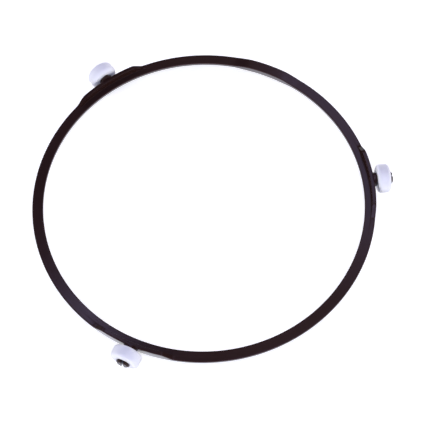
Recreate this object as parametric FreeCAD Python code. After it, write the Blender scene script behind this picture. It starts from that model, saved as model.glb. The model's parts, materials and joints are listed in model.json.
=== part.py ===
"""Roller ring that carries the glass tray of a microwave oven.

A thin moulded ring has three split snap axles round its outer edge. A white roller turns on each.
Frame: origin on the ring's axis at the oven floor, +Z up, +X out along the first roller's axle.
Lengths are millimetres, angles are degrees, and heights are measured up from the floor.
"""
import FreeCAD, Part
import math
import os

Vector = FreeCAD.Vector
ORIGIN = Vector(0, 0, 0)
UP = Vector(0, 0, 1)
OUTWARD = Vector(1, 0, 0)

# Flat strip of the ring
ring_diameter = 172.0
strip_width = 5.5
strip_thickness = 1.7
strip_edge_radius = 0.4

# Rollers
roller_count = 3
roller_diameter = 14.5
roller_width = 6.4
inner_shoulder_radius = 1.8
outer_shoulder_radius = 1.8
bore_chamfer = 0.35

# Fits between roller and axle
running_clearance = 0.08
side_play = 0.2

# Axle: collar, pin and barbed snap head, split by an upright slot
axle_above_strip = 1.0
collar_diameter = 7.2
collar_length = 1.4
collar_edge_radius = 0.3
pin_diameter = 5.8
barb_overhang = 0.55
barb_land = 0.4
head_length = 1.2
head_tip_diameter = 5.2
slot_width = 1.3
prong_length = 6.3
root_overlap = 0.3

# Lug: an upright rib along the strip's outer edge that carries an axle
lug_above_axle = 2.4
lug_rim_width = 2.0
lug_draft_width = 0.3
lug_crest_half_angle = 10.6
lug_foot_half_angle = 13.7
lug_foot_radius = 0.5
lug_rim_radius = 0.5
lug_ramp_radius = 3.0

# Thick stretch of the strip, midway between the first two rollers
thick_rise = 0.85
thick_drop = 0.6
thick_crest_half_angle = 7.0
thick_foot_half_angle = 12.0
thick_ramp_radius = 8.0

# Bodies that cut or trim reach past the material by this much
reach = 2.0

# Largest share of a wall that the round at one of its corners may take
round_share = 0.45

# Radii, heights and angles that follow from the sizes above
roller_spacing = 360 / roller_count
ring_radius = ring_diameter / 2
inner_radius = ring_radius - strip_width
roller_radius = roller_diameter / 2
collar_radius = collar_diameter / 2
pin_radius = pin_diameter / 2
bore_radius = pin_radius + running_clearance
axle_height = roller_radius
strip_top = axle_height - axle_above_strip
strip_bottom = strip_top - strip_thickness
strip_middle = strip_top - strip_thickness / 2
lug_top = axle_height + lug_above_axle

# Places along an axle, measured out from the ring's axis
collar_root = math.sqrt(ring_radius**2 - collar_radius**2) - root_overlap
collar_end = ring_radius + collar_length
roller_inner_face = collar_end + side_play
roller_outer_face = roller_inner_face + roller_width
barb_start = roller_outer_face + side_play
axle_tip = barb_start + head_length


def radial_plane(radius, height):
    """Point of the upright plane that holds the ring's axis and the first axle."""
    return Vector(radius, 0, height)


def front_plane(across, height):
    """Point of the upright plane through the ring's axis, square to the first axle."""
    return Vector(0, across, height)


def axle_plane(along, radius):
    """Point at a distance out along the first axle and a radius above it."""
    return Vector(along, 0, axle_height + radius)


def rounded_face(corners, plane):
    """Face with straight sides whose corners (u, v, radius) are rounded by tangent arcs."""
    points = [plane(u, v) for u, v, radius in corners]
    radii = [radius for u, v, radius in corners]
    edges = []
    ends = []
    for index, corner in enumerate(points):
        back = (points[index - 1] - corner).normalize()
        ahead = (points[(index + 1) % len(points)] - corner).normalize()
        half_angle = back.getAngle(ahead) / 2
        tangent = radii[index] / math.tan(half_angle)
        enter = corner + back * tangent
        leave = corner + ahead * tangent
        ends.append((enter, leave))
        if radii[index] > 0:
            inward = (back + ahead).normalize()
            middle = corner + inward * radii[index] * (1 / math.sin(half_angle) - 1)
            edges.append(Part.Arc(enter, middle, leave).toShape())
    for index, (enter, leave) in enumerate(ends):
        next_enter = ends[(index + 1) % len(ends)][0]
        edges.append(Part.LineSegment(leave, next_enter).toShape())
    return Part.Face(Part.Wire(Part.__sortEdges__(edges)))


def arc_of_ring(section, half_angle):
    """Radial section carried round the ring's axis, half_angle to each side of the first axle."""
    face = rounded_face(section, radial_plane)
    face.rotate(ORIGIN, UP, -half_angle)
    return face.revolve(ORIGIN, UP, 2 * half_angle)


def ramped_window(outline):
    """Outline seen along the first axle, extruded out past the ring's edge."""
    return rounded_face(outline, front_plane).extrude(OUTWARD * (ring_radius + reach))


def turned_about_axle(profile):
    """Half profile turned about the first axle."""
    return rounded_face(profile, axle_plane).revolve(axle_plane(0, 0), OUTWARD, 360)


def across(half_angle):
    """Distance of a point of the ring's outer edge from the upright plane of the first axle."""
    return ring_radius * math.sin(math.radians(half_angle))


def at_roller(shape, index):
    """Copy of a shape on the first axle, turned to the place of another roller."""
    turned = shape.copy()
    turned.rotate(ORIGIN, UP, index * roller_spacing)
    return turned


def round_within(radius, wall):
    """Corner radius, kept within its share of the wall that it rounds."""
    return min(radius, round_share * wall)


def strip_section(bottom, top):
    """Corners of the strip's rounded section between two heights."""
    edge = round_within(strip_edge_radius, strip_thickness)
    return [
        (inner_radius, bottom, edge),
        (ring_radius, bottom, edge),
        (ring_radius, top, edge),
        (inner_radius, top, edge),
    ]


def build_strip():
    """Flat ring with rounded edges."""
    return rounded_face(strip_section(strip_bottom, strip_top), radial_plane).revolve(ORIGIN, UP, 360)


def build_thick_stretch():
    """Stretch where the strip swells above and below, ramped at both ends."""
    top = strip_top + thick_rise
    bottom = strip_bottom - thick_drop
    foot = across(thick_foot_half_angle)
    crest = across(thick_crest_half_angle)
    outline = [
        (-foot, strip_bottom, 0),
        (-crest, bottom, thick_ramp_radius),
        (crest, bottom, thick_ramp_radius),
        (foot, strip_bottom, 0),
        (foot, strip_top, 0),
        (crest, top, thick_ramp_radius),
        (-crest, top, thick_ramp_radius),
        (-foot, strip_top, 0),
    ]
    section = strip_section(bottom, top)
    stretch = arc_of_ring(section, 2 * thick_foot_half_angle).common(ramped_window(outline))
    stretch.rotate(ORIGIN, UP, roller_spacing / 2)
    return stretch


def build_lug():
    """Rib on the strip's outer edge: a drafted inner face, a rounded rim and a ramp at both ends."""
    rim_inner = ring_radius - lug_rim_width
    draft_foot = rim_inner - lug_draft_width
    rim_round = round_within(lug_rim_radius, lug_rim_width)
    foot = across(lug_foot_half_angle)
    crest = across(lug_crest_half_angle)
    section = [
        (draft_foot - lug_rim_width, strip_middle, 0),
        (ring_radius, strip_middle, 0),
        (ring_radius, lug_top, rim_round),
        (rim_inner, lug_top, rim_round),
        (draft_foot, strip_top, lug_foot_radius),
        (draft_foot - lug_rim_width, strip_top, 0),
    ]
    outline = [
        (-foot, strip_middle, 0),
        (foot, strip_middle, 0),
        (foot, strip_top, 0),
        (crest, lug_top, lug_ramp_radius),
        (-crest, lug_top, lug_ramp_radius),
        (-foot, strip_top, 0),
    ]
    return arc_of_ring(section, 2 * lug_foot_half_angle).common(ramped_window(outline))


def build_axle():
    """Collar, pin and barbed head in one, split by an upright slot into two springy prongs."""
    barb_radius = pin_radius + barb_overhang
    profile = [
        (collar_root, 0, 0),
        (collar_root, collar_radius, 0),
        (collar_end, collar_radius, collar_edge_radius),
        (collar_end, pin_radius, 0),
        (barb_start, pin_radius, 0),
        (barb_start, barb_radius, 0),
        (barb_start + barb_land, barb_radius, 0),
        (axle_tip, head_tip_diameter / 2, 0),
        (axle_tip, 0, 0),
    ]
    slot_radius = slot_width / 2
    slot_end = axle_plane(axle_tip - prong_length + slot_radius, -barb_radius)
    slot_side = Vector(0, slot_radius, 0)
    slot_run = Part.makeBox(prong_length, slot_width, 2 * barb_radius, slot_end - slot_side)
    slot_round = Part.makeCylinder(slot_radius, 2 * barb_radius, slot_end, UP)
    return turned_about_axle(profile).cut(slot_run.fuse(slot_round))


def build_support_ring():
    """The whole ring moulding: strip, thick stretch, and a lug with its axle at each roller."""
    lug = build_lug()
    axle = build_axle()
    stations = range(roller_count)
    body = build_strip().fuse([build_thick_stretch()] + [at_roller(lug, index) for index in stations])
    body = body.fuse([at_roller(axle, index) for index in stations])
    return body.removeSplitter()


def build_roller():
    """Roller with rounded shoulders and a chamfered bore that runs on the pin."""
    inner_shoulder = round_within(inner_shoulder_radius, roller_width)
    outer_shoulder = round_within(outer_shoulder_radius, roller_width)
    profile = [
        (roller_inner_face, bore_radius + bore_chamfer, 0),
        (roller_inner_face + bore_chamfer, bore_radius, 0),
        (roller_outer_face - bore_chamfer, bore_radius, 0),
        (roller_outer_face, bore_radius + bore_chamfer, 0),
        (roller_outer_face, roller_radius, outer_shoulder),
        (roller_inner_face, roller_radius, inner_shoulder),
    ]
    return turned_about_axle(profile)


def build_parts():
    """Every piece of the product by name."""
    parts = {"support_ring": build_support_ring()}
    roller = build_roller()
    for index in range(roller_count):
        parts[f"roller_{index + 1}"] = at_roller(roller, index)
    return parts


os.makedirs("parts", exist_ok=True)
for name, shape in build_parts().items():
    solid = shape.Solids[0]
    print(f"{name}: {len(shape.Solids)} solid, valid {shape.isValid()}, {solid.Volume:.1f} mm3")
    solid.exportStep(f"parts/{name}.step")
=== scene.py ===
import json
import math

import bmesh
import bpy
import numpy as np
from bpy.props import FloatProperty, FloatVectorProperty, PointerProperty
from bpy.types import Operator, Panel, PropertyGroup
from mathutils import Matrix, Vector


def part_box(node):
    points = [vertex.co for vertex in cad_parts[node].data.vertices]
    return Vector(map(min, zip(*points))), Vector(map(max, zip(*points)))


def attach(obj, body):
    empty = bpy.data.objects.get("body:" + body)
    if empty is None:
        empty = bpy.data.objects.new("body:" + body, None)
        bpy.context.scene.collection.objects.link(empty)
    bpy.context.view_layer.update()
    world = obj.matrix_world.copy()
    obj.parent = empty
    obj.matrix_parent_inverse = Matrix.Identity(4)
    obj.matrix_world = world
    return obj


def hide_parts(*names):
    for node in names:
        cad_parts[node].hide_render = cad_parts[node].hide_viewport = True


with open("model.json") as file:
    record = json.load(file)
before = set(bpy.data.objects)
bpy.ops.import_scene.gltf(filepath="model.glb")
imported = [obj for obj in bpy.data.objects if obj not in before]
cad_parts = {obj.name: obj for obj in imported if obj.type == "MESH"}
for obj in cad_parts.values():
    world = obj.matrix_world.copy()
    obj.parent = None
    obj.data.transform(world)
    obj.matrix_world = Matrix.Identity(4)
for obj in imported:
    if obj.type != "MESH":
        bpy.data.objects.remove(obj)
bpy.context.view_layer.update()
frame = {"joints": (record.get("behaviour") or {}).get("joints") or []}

bl_info = {
    "name": "Microwave Roller Ring",
    "version": (1, 0, 0),
    "blender": (4, 5, 0),
    "location": "3D View > Sidebar > Roller Ring",
    "description": "Builds a microwave oven's roller ring, with its white rollers and a stage",
    "category": "Add Mesh",
}

# Lengths are metres, and angles are radians where no docstring says degrees.
# Heights are measured up from the floor that the rollers stand on.
MM = 0.001

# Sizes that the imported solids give. The first axle lies along +X.
ring_low, ring_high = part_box("support_ring")
roller_low, roller_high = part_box("roller_1")
AXLE_HEIGHT = (roller_low.z + roller_high.z) / 2
AXLE_TIP = ring_high.x
RING_RADIUS = -ring_low.x
COLLAR_RADIUS = ring_high.z - AXLE_HEIGHT
ROLLER_RADIUS = (roller_high.z - roller_low.z) / 2
ROLLER_INNER_FACE = roller_low.x
ROLLER_OUTER_FACE = roller_high.x
SPINS = sorted(frame["joints"], key=lambda joint: joint["name"])
AXLE_ANGLES = [math.atan2(joint["axis"][1], joint["axis"][0]) for joint in SPINS]
AXLE_SPACING = 2 * math.pi / len(SPINS)

# How finely the surfaces are divided
BAND_ROWS = 1080
TURNED_ROWS = 120
ARC_STEPS = 7
WIDE_ARC_STEPS = 4 * ARC_STEPS

# How strongly the band's rows gather near the axles: less than 1, so that they keep their order
ROWS_GATHERED_AT_AXLES = 0.6

# Rounding of a ramp's corners, as a share of the ramp's length
RAMP_SOFTNESS = 0.16

# Small rounds that finish the collar, the prongs and the bore
CRISP_ROUND = 0.05 * MM
COLLAR_ROUND = 0.3 * MM
BARB_HEEL_ROUND = 0.08 * MM
BARB_RIM_ROUND = 0.15 * MM
HEAD_TIP_ROUND = 0.25 * MM
PRONG_CORNER_ROUND = 0.12 * MM
BORE_ROUND = 0.1 * MM

# How far the collar reaches back into the ring's edge
COLLAR_ROOT_OVERLAP = 0.3 * MM

# Radius from which the head's front closes to a point, as a share of the tip's radius
HEAD_FRONT_SHARE = 0.6

# Fade from a polished wall into the round above it, as a share of the round's radius
WALL_FADE = 1 / 8

# Points closer than this are welded, and edges that bend by more than this stay crisp
WELD_DISTANCE = 1e-7
SHARP_ANGLE = math.radians(35)

# Sockets that a Mix node uses for colours
MIX_SHARE = 0
MIX_FIRST = 6
MIX_SECOND = 7
MIX_RESULT = 2

# Brightness at which gloss mirrors the white table and the white horizon
MIRRORED_WHITE = 0.6

# White that the camera sees added to the table near the object. Far from it, 1 is added.
NEAR_LIFT = 0.55

FLOOR_HALF_WIDTH = 3.0


def length(name, description, default):
    """Property for a length in metres."""
    return FloatProperty(name=name, description=description, default=default, min=0.0, precision=5,
                         subtype="DISTANCE", unit="LENGTH")


def angle(name, description, degrees):
    """Property for an angle, its default given in degrees."""
    return FloatProperty(name=name, description=description, default=math.radians(degrees),
                         subtype="ANGLE", unit="ROTATION")


def point(name, description, default):
    """Property for a point in metres."""
    return FloatVectorProperty(name=name, description=description, default=default, precision=5,
                               subtype="XYZ", unit="LENGTH")


def colour(name, description, default):
    """Property for a linear colour."""
    return FloatVectorProperty(name=name, description=description, default=default, min=0.0, max=1.0,
                               subtype="COLOR")


class RingSettings(PropertyGroup):
    """Sizes and colours of the ring moulding."""

    strip_width: length("Strip width", "Width of the flat strip, inner edge to outer edge", 5.5 * MM)
    strip_thickness: length("Strip thickness", "Thickness of the flat strip", 1.7 * MM)
    strip_below_axle: length("Strip below axle", "Depth of the strip's top under the axles", 1.0 * MM)
    edge_radius: length("Edge radius", "Round along the strip's four edges", 0.4 * MM)
    lug_above_axle: length("Lug above axle", "Height of the lug's rim over the axle", 2.4 * MM)
    lug_rim_width: length("Lug rim width", "Width of the rim along the top of the lug", 2.0 * MM)
    lug_draft_width: length("Lug draft width", "Lean of the lug's inner face over its height", 0.1 * MM)
    lug_radius: length("Lug radius", "Round at the foot and rim of the lug's inner face", 0.2 * MM)
    lug_crest: angle("Lug crest", "Half angle of the ring that has the lug's full height", 10.6)
    lug_foot: angle("Lug foot", "Half angle of the ring at which the lug ends", 13.7)
    thick_rise: length("Thick rise", "Swell of the thick stretch above the strip", 0.85 * MM)
    thick_drop: length("Thick drop", "Swell of the thick stretch below the strip", 0.6 * MM)
    thick_crest: angle("Thick crest", "Half angle of the ring that has the full thickness", 7.0)
    thick_foot: angle("Thick foot", "Half angle of the ring at which the thick stretch ends", 12.0)
    base_colour: colour("Plastic", "Brown-black plastic of the ring", (0.0180, 0.0072, 0.0062))
    cloud_colour: colour("Plastic clouds", "Lighter clouds in the plastic", (0.0255, 0.0108, 0.0096))
    # Reddish brown of the rounded edges: partly rubbed wear, partly a painted highlight of edges that
    # catch the light
    edge_wear_and_glint_colour: colour("Rubbed and glinting edges", "Reddish brown of the rounded edges", (0.060, 0.030, 0.027))


class AxleSettings(PropertyGroup):
    """Sizes of the collar and the split snap axle."""

    collar_length: length("Collar length", "Reach of the collar beyond the ring's edge", 1.4 * MM)
    pin_diameter: length("Pin diameter", "Pin that the roller turns on", 5.8 * MM)
    barb_overhang: length("Barb overhang", "Height of the snap barb over the pin", 0.55 * MM)
    barb_land: length("Barb land", "Straight part of the barb's rim", 0.4 * MM)
    head_length: length("Head length", "Length of the barbed head", 1.2 * MM)
    head_tip_diameter: length("Head tip diameter", "Diameter of the head's front", 5.2 * MM)
    slot_width: length("Slot width", "Gap between the two prongs", 1.3 * MM)
    prong_length: length("Prong length", "Depth of the slot from the tip", 6.3 * MM)


class RollerSettings(PropertyGroup):
    """Sizes and colours of the rollers."""

    inner_shoulder: length("Inner shoulder", "Round between the tread and the inner face", 1.8 * MM)
    outer_shoulder: length("Outer shoulder", "Round between the tread and the outer face", 1.8 * MM)
    bore_chamfer: length("Bore chamfer", "Bevel at both ends of the bore", 0.35 * MM)
    bore_clearance: length("Bore clearance", "Gap between bore and pin, on the radius", 0.08 * MM)
    nylon_colour: colour("Nylon", "Milky white of the rollers", (0.84, 0.845, 0.89))
    cloud_colour: colour("Nylon clouds", "Faint lavender clouds in the nylon", (0.79, 0.80, 0.87))


class StageSettings(PropertyGroup):
    """Camera, floor and light."""

    camera_elevation: angle("Camera elevation", "Angle of the camera over the floor", 63.973)
    camera_azimuth: angle("Camera azimuth", "Turn of the camera about the ring's axis", -5.297)
    camera_roll: angle("Camera roll", "Turn of the camera about its own axis", -1.437)
    camera_distance: length("Camera distance", "Distance from the camera to its aim", 580.95 * MM)
    camera_aim: point("Camera aim", "Point that the camera looks at",
                      (4.54 * MM, -9.73 * MM, 6.25 * MM))
    camera_lens: FloatProperty(name="Camera lens", description="Focal length in millimetres",
                               default=97.69, subtype="DISTANCE_CAMERA", unit="CAMERA")
    floor_colour: colour("Floor", "White table", (0.90, 0.90, 0.90))
    mottle_colour: colour("Floor mottle", "Faint clouds in the table", (0.87, 0.87, 0.87))
    sky_colour: colour("Sky", "Soft blue light of the sky and the key lamp", (0.55, 0.62, 1.0))
    lamp_colour: colour("Lamps", "White light of the side lamps", (1.0, 0.975, 0.92))
    sheen_colour: colour("Sheen", "Lavender light that the ring mirrors", (0.66, 0.58, 1.0))
    glow_colour: colour("Glow", "Warm light of the broad dim lamp over the ring", (1.0, 0.72, 0.66))
    right_sheen: angle("Right sheen", "Place on the ring that mirrors the right sheen lamp", 14)
    front_sheen: angle("Front sheen", "Place on the ring that mirrors the front sheen lamp", 223)
    glow: angle("Glow", "Place on the ring that mirrors the middle of the broad lamp", 0)
    sheen_height: length("Sheen height", "Height of the sheen and glow lamps over the ring", 0.6)
    ramp_lamp_place: point("Ramp lamp place", "Middle of the right ramp lamp", (0.085, -0.30, 0.606))
    ramp_lamp_turn: angle("Ramp lamp turn", "Turn of the right ramp lamp about the upright", -10.8)


class RollerRingSettings(PropertyGroup):
    """All settings of the roller ring."""

    ring: PointerProperty(name="Ring", description="Ring moulding", type=RingSettings)
    axle: PointerProperty(name="Axles", description="Collars and snap axles", type=AxleSettings)
    roller: PointerProperty(name="Rollers", description="White rollers", type=RollerSettings)
    stage: PointerProperty(name="Stage", description="Camera, floor and light", type=StageSettings)


def soft_ramp(share):
    """0 before a share of 0 and 1 after a share of 1, straight between, with both corners rounded.

    It is half of one plus the difference between two hyperbolas, one about each corner.
    """
    soft = RAMP_SOFTNESS
    return (1 + np.sqrt(share**2 + soft**2) - np.sqrt((share - 1)**2 + soft**2)) / 2


def unit_vectors(vectors):
    """Vectors divided by their own length."""
    return vectors / np.linalg.norm(vectors, axis=-1, keepdims=True)


def rounded_outline(corners, side_steps, closed=True):
    """Outline through straight sides whose corners (u, v, radius) are rounded by tangent arcs.

    A corner's arc runs between the two points at radius / tan(half angle) from it, and swings there
    from one end's direction to the other as seen from the arc's centre. Each side is divided evenly.
    An outline that isn't closed starts at its first corner and ends at its last.
    """
    points = np.array([corner[:2] for corner in corners])
    radii = np.array([corner[2] for corner in corners])[:, None]
    back = unit_vectors(np.roll(points, 1, axis=0) - points)
    ahead = unit_vectors(np.roll(points, -1, axis=0) - points)
    half = np.arccos((back * ahead).sum(axis=1, keepdims=True)) / 2
    centre = points + unit_vectors(back + ahead) * radii / np.sin(half)
    first = points + back * radii / np.tan(half) - centre
    last = points + ahead * radii / np.tan(half) - centre
    swing = np.pi - 2 * half
    share = np.linspace(0, 1, ARC_STEPS)
    swung = (first[:, None] * np.sin((1 - share) * swing)[..., None]
             + last[:, None] * np.sin(share * swing)[..., None])
    arcs = swung / np.sin(swing)[:, None] + centre[:, None]
    if not closed:
        arcs[0] = points[0]
        arcs[-1] = points[-1]
    between = np.linspace(0, 1, side_steps + 1)[1:-1, None]
    sides = arcs[:, -1:] + between * (np.roll(arcs[:, 0], -1, axis=0)[:, None] - arcs[:, -1:])
    outline = np.concatenate([arcs, sides], axis=1).reshape(-1, 2)
    if not closed:
        # The arcs at both ends are one point each, repeated
        repeated = ARC_STEPS - 1
        outline = outline[repeated:len(outline) - repeated - len(between)]
    return outline


def grid_quads(rows, columns, rows_closed):
    """Corner numbers of a grid's quads: its columns run round, and its rows too if they are closed."""
    row = np.arange(rows if rows_closed else rows - 1)[:, None]
    column = np.arange(columns)[None, :]
    next_row = (row + 1) % rows
    next_column = (column + 1) % columns
    corners = [row * columns + column, next_row * columns + column,
               next_row * columns + next_column, row * columns + next_column]
    return np.stack(np.broadcast_arrays(*corners), axis=-1).reshape(-1, 4)


def lug_height(ring):
    """Height of the lug's rim over the strip's top."""
    return ring.strip_below_axle + ring.lug_above_axle


def lug_profile(ring):
    """Radii and heights over the strip's top across a lug: level, up its inner face, level again."""
    rim = RING_RADIUS - ring.lug_rim_width
    foot = rim - ring.lug_draft_width
    corners = [
        (RING_RADIUS - ring.strip_width, 0, 0),
        (foot, 0, ring.lug_radius),
        (rim, lug_height(ring), ring.lug_radius),
        (RING_RADIUS, lug_height(ring), 0),
    ]
    return rounded_outline(corners, side_steps=5, closed=False)


def ring_section(ring):
    """Rounded rectangle of the strip as radii and heights over its bottom.

    Its top side, which follows the third corner's arc, has a point at each radius of the lug's
    profile, so that it can rise to that profile.
    """
    inner = RING_RADIUS - ring.strip_width
    edge = ring.edge_radius
    thickness = ring.strip_thickness
    corners = [
        (inner, 0, edge),
        (RING_RADIUS, 0, edge),
        (RING_RADIUS, thickness, edge),
        (inner, thickness, edge),
    ]
    outline = rounded_outline(corners, side_steps=1)
    radii = lug_profile(ring)[::-1, 0]
    radii = radii[(radii > inner + edge) & (radii < RING_RADIUS - edge)]
    top_side = np.stack([radii, np.full_like(radii, thickness)], axis=-1)
    outline = np.insert(outline, 3 * ARC_STEPS, top_side, axis=0)
    return outline[:, 0], outline[:, 1]


def band_angles():
    """Angles of the band's rows, evenly spaced and then drawn together near the axles.

    Each angle is lessened by a sine of itself that goes round once between two axles.
    """
    even = np.linspace(0, 2 * np.pi, BAND_ROWS, endpoint=False)
    count = len(SPINS)
    return even - ROWS_GATHERED_AT_AXLES / count * np.sin(count * even)


def ring_band(ring):
    """The strip: its rounded section carried round the axis, between a lower and an upper height.

    The upper height is the strip's top. By each axle it rises by the lower of the lug's profile,
    which depends on the radius, and a ramp towards the axle. In the thick stretch both heights swell
    apart by a ramp of the angle alone. The rounds at the section's corners keep their size: only the
    wall between them is stretched.
    """
    radius, over_bottom = ring_section(ring)
    turn = band_angles()[:, None]
    from_axle = np.abs((turn + AXLE_SPACING / 2) % AXLE_SPACING - AXLE_SPACING / 2)
    from_thick = np.abs((turn - AXLE_SPACING / 2 + np.pi) % (2 * np.pi) - np.pi)
    lug_ramp = soft_ramp((ring.lug_foot - from_axle) / (ring.lug_foot - ring.lug_crest))
    thick_ramp = soft_ramp((ring.thick_foot - from_thick) / (ring.thick_foot - ring.thick_crest))
    top = AXLE_HEIGHT - ring.strip_below_axle
    bottom = top - ring.strip_thickness
    lug = np.interp(radius, *lug_profile(ring).T)
    upper = top + ring.thick_rise * thick_ramp + np.minimum(lug, lug_height(ring) * lug_ramp)
    lower = bottom - ring.thick_drop * thick_ramp
    wall = ring.strip_thickness - 2 * ring.edge_radius
    up_wall = np.clip((over_bottom - ring.edge_radius) / wall, 0, 1)
    height = lower + over_bottom + up_wall * (upper - lower - ring.strip_thickness)
    places = np.broadcast_arrays(radius * np.cos(turn), radius * np.sin(turn), height)
    points = np.stack(places, axis=-1)
    return points.reshape(-1, 3), grid_quads(len(turn), len(radius), rows_closed=True)


def band_masks(ring):
    """Two masks over the points of the band, by name. The first places rubbed wear and a painted
    highlight on the rounded edges.

    rubbed_and_glinting_edge is 0 on the flats and at the ends of a rounded edge's arc, and 1 from the
    next points of the arc on. upright_wall is 1 on the walls and on the lower half, and falls to 0
    within the rounds above.
    """
    radius, over_bottom = ring_section(ring)
    inner = RING_RADIUS - ring.strip_width
    from_wall = np.minimum(radius - inner, RING_RADIUS - radius) / ring.edge_radius
    from_face = np.minimum(over_bottom, ring.strip_thickness - over_bottom) / ring.edge_radius
    on_arc = np.clip(1 - from_wall, 0, 1) * np.clip(1 - from_face, 0, 1)
    arc_step = np.pi / 2 / (ARC_STEPS - 1)
    on_edge = np.clip(on_arc / (np.sin(arc_step) * np.cos(arc_step)), 0, 1)
    on_wall = np.clip(1 - from_wall / WALL_FADE, 0, 1)
    on_wall[over_bottom < ring.strip_thickness / 2] = 1
    return {"rubbed_and_glinting_edge": np.tile(on_edge, BAND_ROWS), "upright_wall": np.tile(on_wall, BAND_ROWS)}


def turned_about_axle(profile, closed):
    """Profile of places along the axle and radii, turned once about the first axle."""
    turn = np.linspace(0, 2 * np.pi, TURNED_ROWS, endpoint=False)
    along = profile[:, :1]
    radius = profile[:, 1:]
    across = -radius * np.sin(turn)
    height = AXLE_HEIGHT + radius * np.cos(turn)
    points = np.stack(np.broadcast_arrays(along, across, height), axis=-1)
    return points.reshape(-1, 3), grid_quads(len(profile), TURNED_ROWS, rows_closed=closed)


def flatted_bar(profile, flat, corner, facing):
    """Bar along the first axle, whose section is the part of a disc beyond a flat, with round corners.

    The section is the disc less the corner radius, cut at the flat plus that radius, and grown by it
    again: a wide arc, a small arc, the flat and another small arc. The profile gives each row's place
    and disc radius. Facing is the direction across the axle, as an angle from upright, in which the
    bar lies from the flat. The rows at both ends close to a point.
    """
    along = profile[:, :1]
    radius = profile[:, 1:]
    core = radius - corner
    half = np.arccos((flat + corner) / core)
    wide = half * np.linspace(-1, 1, WIDE_ARC_STEPS)
    ends = half + (np.pi - half) * np.linspace(0, 1, ARC_STEPS)[1:]
    out = np.concatenate([
        radius * np.cos(wide),
        core * np.cos(half) + corner * np.cos(ends),
        core * np.cos(half) + corner * np.cos(ends[:, ::-1]),
    ], axis=1)
    side = np.concatenate([
        radius * np.sin(wide),
        core * np.sin(half) + corner * np.sin(ends),
        -core * np.sin(half) - corner * np.sin(ends[:, ::-1]),
    ], axis=1)
    out = np.concatenate([out[:1] * 0 + out[:1].mean(), out, out[-1:] * 0 + out[-1:].mean()])
    side = np.concatenate([side[:1] * 0, side, side[-1:] * 0])
    along = np.concatenate([along[:1], along, along[-1:]])
    across = -out * np.sin(facing) - side * np.cos(facing)
    height = AXLE_HEIGHT + out * np.cos(facing) - side * np.sin(facing)
    points = np.stack(np.broadcast_arrays(along, across, height), axis=-1)
    return points.reshape(-1, 3), grid_quads(*out.shape, rows_closed=False)


def collar_and_pin(axle):
    """Collar and the pin's root, up to the bottom of the slot, turned about the axle."""
    root = math.sqrt(RING_RADIUS**2 - COLLAR_RADIUS**2) - COLLAR_ROOT_OVERLAP
    collar_end = RING_RADIUS + axle.collar_length
    pin_radius = axle.pin_diameter / 2
    pin_end = AXLE_TIP - axle.prong_length + axle.slot_width / 2
    corners = [
        (root, 0, 0),
        (root, COLLAR_RADIUS, CRISP_ROUND),
        (collar_end, COLLAR_RADIUS, COLLAR_ROUND),
        (collar_end, pin_radius, CRISP_ROUND),
        (pin_end, pin_radius, CRISP_ROUND),
        (pin_end, 0, 0),
    ]
    return turned_about_axle(rounded_outline(corners, side_steps=3, closed=False), closed=False)


def prong_profile(axle):
    """Places and radii along a prong: the pin, the step to the barb, its land and the tapered head."""
    pin_radius = axle.pin_diameter / 2
    barb_radius = pin_radius + axle.barb_overhang
    barb_start = AXLE_TIP - axle.head_length
    tip_radius = axle.head_tip_diameter / 2
    corners = [
        (AXLE_TIP - axle.prong_length, pin_radius, 0),
        (barb_start, pin_radius, CRISP_ROUND),
        (barb_start, barb_radius, BARB_HEEL_ROUND),
        (barb_start + axle.barb_land, barb_radius, BARB_RIM_ROUND),
        (AXLE_TIP, tip_radius, HEAD_TIP_ROUND),
        (AXLE_TIP, HEAD_FRONT_SHARE * tip_radius, 0),
    ]
    return rounded_outline(corners, side_steps=4, closed=False)


def turned_to(points, turn):
    """Points on the first axle, turned about the ring's axis."""
    spin = np.array(Matrix.Rotation(turn, 3, "Z"))
    return points @ spin.T


def joined(surfaces):
    """One set of points and quads from several surfaces."""
    starts = np.cumsum([0] + [len(points) for points, quads in surfaces])
    points = np.concatenate([points for points, quads in surfaces])
    quads = np.concatenate([quads + start for (points, quads), start in zip(surfaces, starts)])
    return points, quads


def make_piece(name, points, quads, material):
    """Object at the origin from points and quads, its poles welded and its sharp corners kept."""
    mesh = bpy.data.meshes.new(name)
    mesh.from_pydata(points, [], quads)
    weld = bmesh.new()
    weld.from_mesh(mesh)
    bmesh.ops.remove_doubles(weld, verts=weld.verts, dist=WELD_DISTANCE)
    bmesh.ops.recalc_face_normals(weld, faces=weld.faces)
    weld.to_mesh(mesh)
    weld.free()
    mesh.shade_smooth()
    mesh.set_sharp_from_angle(angle=SHARP_ANGLE)
    mesh.materials.append(material)
    piece = bpy.data.objects.new(name, mesh)
    bpy.context.scene.collection.objects.link(piece)
    return piece


class Signal:
    """An output socket that can stand in sums: each operator adds one Math node to the tree."""

    def __init__(self, tree, socket):
        self.tree = tree
        self.socket = socket

    @classmethod
    def node(cls, tree, kind, settings, inputs, output=0):
        """Output of a new node: its settings are set first, then its sockets from values or signals."""
        made = tree.nodes.new(kind)
        for name, value in settings.items():
            setattr(made, name, value)
        for key, value in inputs.items():
            if isinstance(value, cls):
                tree.links.new(value.socket, made.inputs[key])
            else:
                made.inputs[key].default_value = value
        return cls(tree, made.outputs[output])

    def math(self, operation, first, second):
        """Math node on two numbers or signals."""
        return self.node(self.tree, "ShaderNodeMath", {"operation": operation}, {0: first, 1: second})

    def __add__(self, other):
        return self.math("ADD", self, other)

    def __sub__(self, other):
        return self.math("SUBTRACT", self, other)

    def __rsub__(self, other):
        return self.math("SUBTRACT", other, self)

    def __mul__(self, other):
        return self.math("MULTIPLY", self, other)

    __radd__ = __add__
    __rmul__ = __mul__


def opaque(linear):
    """Four-part colour from a three-part one."""
    return (*linear, 1.0)


def cloud(tree, size, detail):
    """Noise over the piece's own coordinates, with spots of about that size."""
    place = Signal.node(tree, "ShaderNodeTexCoord", {}, {}, "Object")
    sockets = {"Vector": place, "Scale": 1 / size, "Detail": detail}
    return Signal.node(tree, "ShaderNodeTexNoise", {}, sockets)


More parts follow.
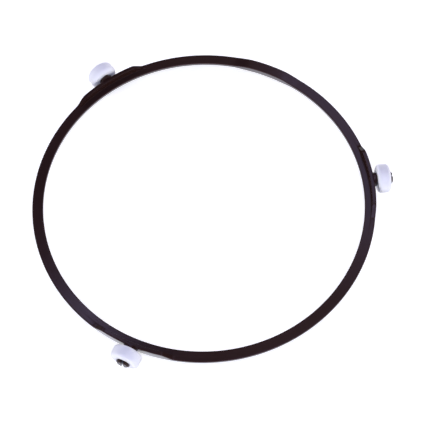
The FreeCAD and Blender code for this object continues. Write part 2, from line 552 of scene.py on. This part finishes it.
def mask(tree, name):
    """Attribute of the piece, from 0 to 1."""
    return Signal.node(tree, "ShaderNodeAttribute", {"attribute_name": name}, {}, "Fac")


def blended(tree, share, first, second):
    """Colour between two others."""
    sockets = {MIX_SHARE: share, MIX_FIRST: first, MIX_SECOND: second}
    return Signal.node(tree, "ShaderNodeMix", {"data_type": "RGBA"}, sockets, MIX_RESULT)


def grained(tree, height, strength, depth):
    """Normal of a surface with a fine relief."""
    sockets = {"Height": height, "Strength": strength, "Distance": depth}
    return Signal.node(tree, "ShaderNodeBump", {}, sockets)


def new_material(name):
    """Empty material and its node tree."""
    material = bpy.data.materials.new(name)
    material.use_nodes = True
    material.node_tree.nodes.clear()
    return material, material.node_tree


def show(tree, shader, output="ShaderNodeOutputMaterial"):
    """Links a shader to the tree's output."""
    end = tree.nodes.new(output)
    tree.links.new(shader.socket, end.inputs["Surface"])


def ring_plastic(ring):
    """Brown-black moulding: satin with lighter clouds, polished walls, and reddish edges that are
    partly rubbed wear and partly a painted highlight.
    """
    material, tree = new_material("ring_plastic")
    clouds = cloud(tree, size=14 * MM, detail=3.0)
    grain = cloud(tree, size=0.45 * MM, detail=2.0)
    # Reddish edges: partly rubbed wear, partly a painted highlight where the rounded edges would catch
    # the light
    rubbed_and_glint = mask(tree, "rubbed_and_glinting_edge") * (0.35 + 0.5 * grain)
    tint = blended(tree, clouds, opaque(ring.base_colour), opaque(ring.cloud_colour))
    show(tree, Signal.node(tree, "ShaderNodeBsdfPrincipled", {}, {
        "Base Color": blended(tree, rubbed_and_glint, tint, opaque(ring.edge_wear_and_glint_colour)),
        "Roughness": 0.14 + 0.08 * clouds + 0.06 * grain,
        "Specular IOR Level": 0.2,
        "Normal": grained(tree, grain, strength=0.2, depth=0.02 * MM),
        "Coat Weight": mask(tree, "upright_wall"),
        "Coat Roughness": 0.08,
        "Coat IOR": 2.0,
    }))
    return material


def roller_nylon(roller):
    """Milky nylon: faint lavender clouds, a soft gloss and a very fine grain."""
    material, tree = new_material("roller_plastic")
    clouds = cloud(tree, size=6 * MM, detail=2.0)
    grain = cloud(tree, size=0.3 * MM, detail=2.0)
    show(tree, Signal.node(tree, "ShaderNodeBsdfPrincipled", {}, {
        "Base Color": blended(tree, clouds, opaque(roller.nylon_colour), opaque(roller.cloud_colour)),
        "Roughness": 0.36 + 0.12 * clouds + 0.06 * grain,
        "Normal": grained(tree, grain, strength=0.1, depth=0.01 * MM),
        "Subsurface Weight": 0.15,
        "Subsurface Radius": (1.2, 1.2, 1.4),
        "Subsurface Scale": 1 * MM,
    }))
    return material


class ROLLERRING_OT_support_ring(Operator):
    """Build the ring moulding: strip, lugs, thick stretch, collars and split axles"""

    bl_idname = "roller_ring.support_ring"
    bl_label = "Support Ring"

    def execute(self, context):
        settings = context.scene.roller_ring
        profile = prong_profile(settings.axle)
        flat = settings.axle.slot_width / 2
        prongs = [flatted_bar(profile, flat, PRONG_CORNER_ROUND, facing)
                  for facing in (math.pi / 2, -math.pi / 2)]
        station, station_quads = joined([collar_and_pin(settings.axle), *prongs])
        stations = [(turned_to(station, turn), station_quads) for turn in AXLE_ANGLES]
        points, quads = joined([ring_band(settings.ring), *stations])
        piece = make_piece("support_ring_moulding", points, quads, ring_plastic(settings.ring))
        # The band's points come first in the mesh, and the weld leaves all of them in place
        for name, band_values in band_masks(settings.ring).items():
            values = np.zeros(len(piece.data.vertices))
            values[:len(band_values)] = band_values
            piece.data.attributes.new(name, "FLOAT", "POINT").data.foreach_set("value", values)
        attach(piece, "ring")
        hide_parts("support_ring")
        return {"FINISHED"}


class ROLLERRING_OT_rollers(Operator):
    """Build the white rollers, one on each axle"""

    bl_idname = "roller_ring.rollers"
    bl_label = "Rollers"

    def execute(self, context):
        settings = context.scene.roller_ring
        roller = settings.roller
        bore = settings.axle.pin_diameter / 2 + roller.bore_clearance
        mouth = bore + roller.bore_chamfer
        corners = [
            (ROLLER_INNER_FACE, mouth, BORE_ROUND),
            (ROLLER_INNER_FACE + roller.bore_chamfer, bore, BORE_ROUND),
            (ROLLER_OUTER_FACE - roller.bore_chamfer, bore, BORE_ROUND),
            (ROLLER_OUTER_FACE, mouth, BORE_ROUND),
            (ROLLER_OUTER_FACE, ROLLER_RADIUS, roller.outer_shoulder),
            (ROLLER_INNER_FACE, ROLLER_RADIUS, roller.inner_shoulder),
        ]
        points, quads = turned_about_axle(rounded_outline(corners, side_steps=5), closed=True)
        nylon = roller_nylon(roller)
        for spin, turn in zip(SPINS, AXLE_ANGLES):
            body = spin["child"]
            piece = make_piece(f"{body}_nylon", turned_to(points, turn), quads, nylon)
            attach(piece, body)
            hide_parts(body)
        return {"FINISHED"}


def outward(elevation, azimuth):
    """Unit vector from the ring towards a camera or lamp; azimuth 0 is the front, -Y."""
    return Vector((math.sin(azimuth) * math.cos(elevation), -math.cos(azimuth) * math.cos(elevation),
                   math.sin(elevation)))


def facing_matrix(place, back, roll):
    """Placement at a point, looking against the back vector, turned about it by a roll."""
    right = Vector((0, 0, 1)).cross(back).normalized()
    upright = Matrix((right, back.cross(right), back)).transposed()
    return Matrix.Translation(place) @ (upright @ Matrix.Rotation(roll, 3, "Z")).to_4x4()


def level_matrix(place, turn):
    """Placement at a point, looking straight down, turned about the upright."""
    return Matrix.Translation(place) @ Matrix.Rotation(turn, 4, "Z")


def camera_back(stage):
    """Unit vector from the camera's aim back to the camera."""
    return outward(stage.camera_elevation, stage.camera_azimuth)


def camera_place(stage):
    """Place of the camera, at its distance from its aim."""
    return Vector(stage.camera_aim) + camera_back(stage) * stage.camera_distance


def new_camera(stage):
    """Camera that looks at its aim."""
    camera = bpy.data.objects.new("camera", bpy.data.cameras.new("camera"))
    camera.data.lens = stage.camera_lens
    camera.matrix_world = facing_matrix(camera_place(stage), camera_back(stage), stage.camera_roll)
    bpy.context.scene.collection.objects.link(camera)
    return camera


def new_lamp(name, shape, tint, power, size, placement):
    """Flat lamp of a shape and size (width, height) at a placement."""
    data = bpy.data.lights.new(name, "AREA")
    data.shape = shape
    data.size, data.size_y = size
    data.energy = power
    data.color = tint
    lamp = bpy.data.objects.new(name, data)
    lamp.matrix_world = placement
    bpy.context.scene.collection.objects.link(lamp)
    return lamp


def at_one_metre(elevation, azimuth):
    """Placement 1 m from the middle of the ring, facing it, at angles in degrees."""
    back = outward(math.radians(elevation), math.radians(azimuth))
    return facing_matrix(back, back, 0)


def add_side_lamp(name, tint, power, size, elevation, azimuth):
    """Lamp 1 m from the ring, at angles in degrees, that lights it but isn't mirrored in it."""
    lamp = new_lamp(name, "RECTANGLE", tint, power, size, at_one_metre(elevation, azimuth))
    lamp.visible_glossy = False


def add_sheen_lamp(name, tint, power, size, settings, turn):
    """Level lamp that the flat top of the strip mirrors to the camera at one place on the ring.

    The camera's mirror image in the strip's top lies as far below it as the camera lies above. The
    lamp hangs where the line from that image through the place on the ring reaches the lamp's height.
    Its size is given across the strip and along it.
    """
    top = AXLE_HEIGHT - settings.ring.strip_below_axle
    eye = camera_place(settings.stage)
    image = Vector((eye.x, eye.y, 2 * top - eye.z))
    place = Vector((RING_RADIUS * math.cos(turn), RING_RADIUS * math.sin(turn), top))
    hung = place + (place - image) * settings.stage.sheen_height / (top - image.z)
    new_lamp(name, "ELLIPSE", tint, power, size, level_matrix(hung, turn))


def add_ramp_lamp(name, shape, tint, power, size, placement):
    """Lamp that the ramps of a lug mirror, and that lights nothing else."""
    lamp = new_lamp(name, shape, tint, power, size, placement)
    lamp.visible_diffuse = False


def hang_lamps(settings):
    """Five lamps that light the ring, three that its flat top mirrors and two for the lugs' ramps."""
    stage = settings.stage
    white = stage.lamp_colour
    sheen = stage.sheen_colour
    add_side_lamp("key_lamp", stage.sky_colour, power=3.9, size=(0.6, 0.6), elevation=66, azimuth=-5)
    add_side_lamp("front_left_lamp", white, power=5.4, size=(1.2, 0.32), elevation=10, azimuth=-45)
    add_side_lamp("front_right_lamp", white, power=5.4, size=(1.2, 0.32), elevation=10, azimuth=45)
    add_side_lamp("back_left_lamp", white, power=4.0, size=(1.2, 0.7), elevation=22, azimuth=-120)
    add_side_lamp("back_right_lamp", white, power=4.0, size=(1.2, 0.7), elevation=22, azimuth=120)
    add_sheen_lamp("right_sheen_lamp", sheen, power=0.37, size=(0.14, 0.32),
                   settings=settings, turn=stage.right_sheen)
    add_sheen_lamp("front_sheen_lamp", sheen, power=0.15, size=(0.10, 0.06),
                   settings=settings, turn=stage.front_sheen)
    add_sheen_lamp("glow_lamp", stage.glow_colour, power=0.40, size=(0.50, 0.70),
                   settings=settings, turn=stage.glow)
    add_ramp_lamp("left_ramp_lamp", "ELLIPSE", sheen, power=1.6, size=(0.24, 0.6),
                  placement=at_one_metre(elevation=34, azimuth=-149))
    add_ramp_lamp("right_ramp_lamp", "RECTANGLE", sheen, power=1.3, size=(0.12, 0.70),
                  placement=level_matrix(stage.ramp_lamp_place, stage.ramp_lamp_turn))


def smooth_step(tree, value, start, end):
    """0 before the start, 1 after the end and an S-shaped rise between."""
    return Signal.node(tree, "ShaderNodeMapRange", {"interpolation_type": "SMOOTHSTEP"},
                       {"Value": value, "From Min": start, "From Max": end})


def ray_is(tree, kind):
    """1 for rays of that kind and 0 for the others."""
    return Signal.node(tree, "ShaderNodeLightPath", {}, {}, f"Is {kind} Ray")


def white_table(stage):
    """White floor that keeps the shadows, lifted where it is seen, and more so far from the object."""
    material, tree = new_material("white_table")
    mottle = cloud(tree, size=40 * MM, detail=2.0)
    tint = blended(tree, mottle, opaque(stage.floor_colour), opaque(stage.mottle_colour))
    paper = Signal.node(tree, "ShaderNodeBsdfDiffuse", {}, {"Color": tint})
    mirrored = ray_is(tree, "Glossy") + ray_is(tree, "Transmission")
    place = Signal.node(tree, "ShaderNodeTexCoord", {}, {}, "Object")
    distance = Signal.node(tree, "ShaderNodeVectorMath", {"operation": "LENGTH"}, {0: place}, "Value")
    far = smooth_step(tree, distance, start=0.25, end=0.9)
    seen = (NEAR_LIFT + (1 - NEAR_LIFT) * far) * ray_is(tree, "Camera")
    lift = seen + MIRRORED_WHITE * mirrored
    glow = Signal.node(tree, "ShaderNodeEmission", {}, {"Color": lift, "Strength": 1.0})
    show(tree, Signal.node(tree, "ShaderNodeAddShader", {}, {0: paper, 1: glow}))
    return material


def sky(stage):
    """World with a dim blue light from overhead, white at the horizon and where the camera sees it."""
    world = bpy.data.worlds.new("soft_sky")
    world.use_nodes = True
    tree = world.node_tree
    tree.nodes.clear()
    direction = Signal.node(tree, "ShaderNodeTexCoord", {}, {}, "Generated")
    height = Signal.node(tree, "ShaderNodeSeparateXYZ", {}, {"Vector": direction}, "Z")
    overhead = smooth_step(tree, height, start=0.02, end=0.15) * (1 - ray_is(tree, "Camera"))
    level = 1 - (1 - MIRRORED_WHITE) * ray_is(tree, "Glossy")
    white = Signal.node(tree, "ShaderNodeBackground", {}, {"Color": level, "Strength": 1.0})
    dim = Signal.node(tree, "ShaderNodeBackground", {},
                      {"Color": opaque(stage.sky_colour), "Strength": 0.1})
    light = Signal.node(tree, "ShaderNodeMixShader", {}, {0: overhead, 1: white, 2: dim})
    show(tree, light, "ShaderNodeOutputWorld")
    return world


class ROLLERRING_OT_stage(Operator):
    """Set up the white floor, the soft light and the camera"""

    bl_idname = "roller_ring.stage"
    bl_label = "Stage"

    def execute(self, context):
        scene = context.scene
        settings = scene.roller_ring
        half = FLOOR_HALF_WIDTH
        corners = np.array([(-half, -half, 0), (half, -half, 0), (half, half, 0), (-half, half, 0)])
        floor = make_piece("floor", corners, np.array([(0, 1, 2, 3)]), white_table(settings.stage))
        hang_lamps(settings)
        scene.world = sky(settings.stage)
        scene.camera = new_camera(settings.stage)
        scene.view_settings.view_transform = "Standard"
        return {"FINISHED"}


OPERATORS = (ROLLERRING_OT_support_ring, ROLLERRING_OT_rollers, ROLLERRING_OT_stage)


class ROLLERRING_PT_sidebar(Panel):
    """Steps that build the roller ring"""

    bl_idname = "ROLLERRING_PT_sidebar"
    bl_label = "Roller Ring"
    bl_space_type = "VIEW_3D"
    bl_region_type = "UI"
    bl_category = "Roller Ring"

    def draw(self, context):
        for step in OPERATORS:
            self.layout.operator(step.bl_idname)


GROUPS = (RingSettings, AxleSettings, RollerSettings, StageSettings, RollerRingSettings)
CLASSES = (*GROUPS, *OPERATORS, ROLLERRING_PT_sidebar)


def register():
    """Add the classes, and the settings to each scene."""
    for entry in CLASSES:
        bpy.utils.register_class(entry)
    bpy.types.Scene.roller_ring = PointerProperty(
        name="Roller ring", description="Settings of the roller ring", type=RollerRingSettings)


def unregister():
    """Remove what register adds."""
    del bpy.types.Scene.roller_ring
    for entry in reversed(CLASSES):
        bpy.utils.unregister_class(entry)


def main():
    """Build the ring, the rollers and the stage."""
    register()
    bpy.ops.roller_ring.support_ring()
    bpy.ops.roller_ring.rollers()
    bpy.ops.roller_ring.stage()


if __name__ == "__main__":
    main()
